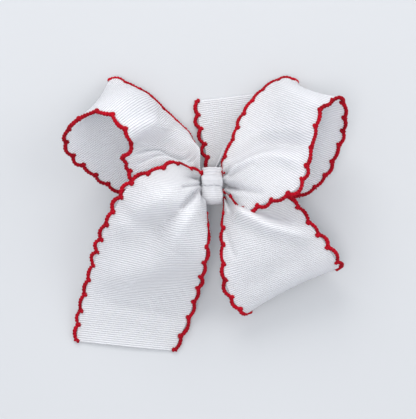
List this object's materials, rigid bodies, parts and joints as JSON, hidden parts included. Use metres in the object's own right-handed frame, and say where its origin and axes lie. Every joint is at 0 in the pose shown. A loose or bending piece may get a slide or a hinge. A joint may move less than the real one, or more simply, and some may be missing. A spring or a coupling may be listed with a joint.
{
  "type": "cheer hair bow",
  "caption": "Grosgrain ribbon hair bow with crochet edging, loops and tails gathered on a spring hair clip.",
  "frame": {"origin": "centre of the bounding box, at the underside on which the bow lies", "axes": "+Z out of the bow's front, towards the viewer; +Y towards the short top tail; +X to the bow's right as seen from the front"},
  "size_m": [0.1576, 0.1568, 0.0546],
  "materials": {
    "white_grosgrain": "white cross-ribbed grosgrain ribbon, soft satin",
    "band_grosgrain": "narrow white grosgrain ribbon, pulled tight",
    "red_crochet": "twisted red crochet thread, slight sheen",
    "white_thread": "waxed white thread",
    "hot_melt_glue": "cloudy hot-melt glue",
    "nickel_steel": "nickel-plated pressed steel",
    "spring_wire": "drawn spring wire"
  },
  "bodies": {
    "bow": {"loop_upper_left": "white_grosgrain", "loop_upper_right": "white_grosgrain", "loop_lower_right": "white_grosgrain", "tail_lower_left": "white_grosgrain", "tail_top": "white_grosgrain", "edging_upper_left_a": "red_crochet", "edging_upper_left_b": "red_crochet", "edging_upper_right_a": "red_crochet", "edging_upper_right_b": "red_crochet", "edging_lower_right_a": "red_crochet", "edging_lower_right_b": "red_crochet", "edging_lower_left_a": "red_crochet", "edging_lower_left_b": "red_crochet", "edging_top_a": "red_crochet", "edging_top_b": "red_crochet", "ribbon_waist": "white_grosgrain", "gather_thread": "white_thread", "knot_wrap": "band_grosgrain", "glue_pad": "hot_melt_glue", "clip_lining": "band_grosgrain", "clip_arm": "nickel_steel", "hinge_pin": "nickel_steel", "clip_spring": "spring_wire"},
    "jaw": {"clip_jaw": "nickel_steel"}
  },
  "joints": [
    {"name": "jaw_hinge", "type": "hinge", "parent": "bow", "child": "jaw", "pos_m": [0.01104, 0.01439, 0.0038], "axis": [0, -1, 0], "range_deg": [0, 24], "stiffness_Nm_per_rad": 0.25, "springref_deg": -34.38, "deforming": ["clip_spring"]}
  ]
}
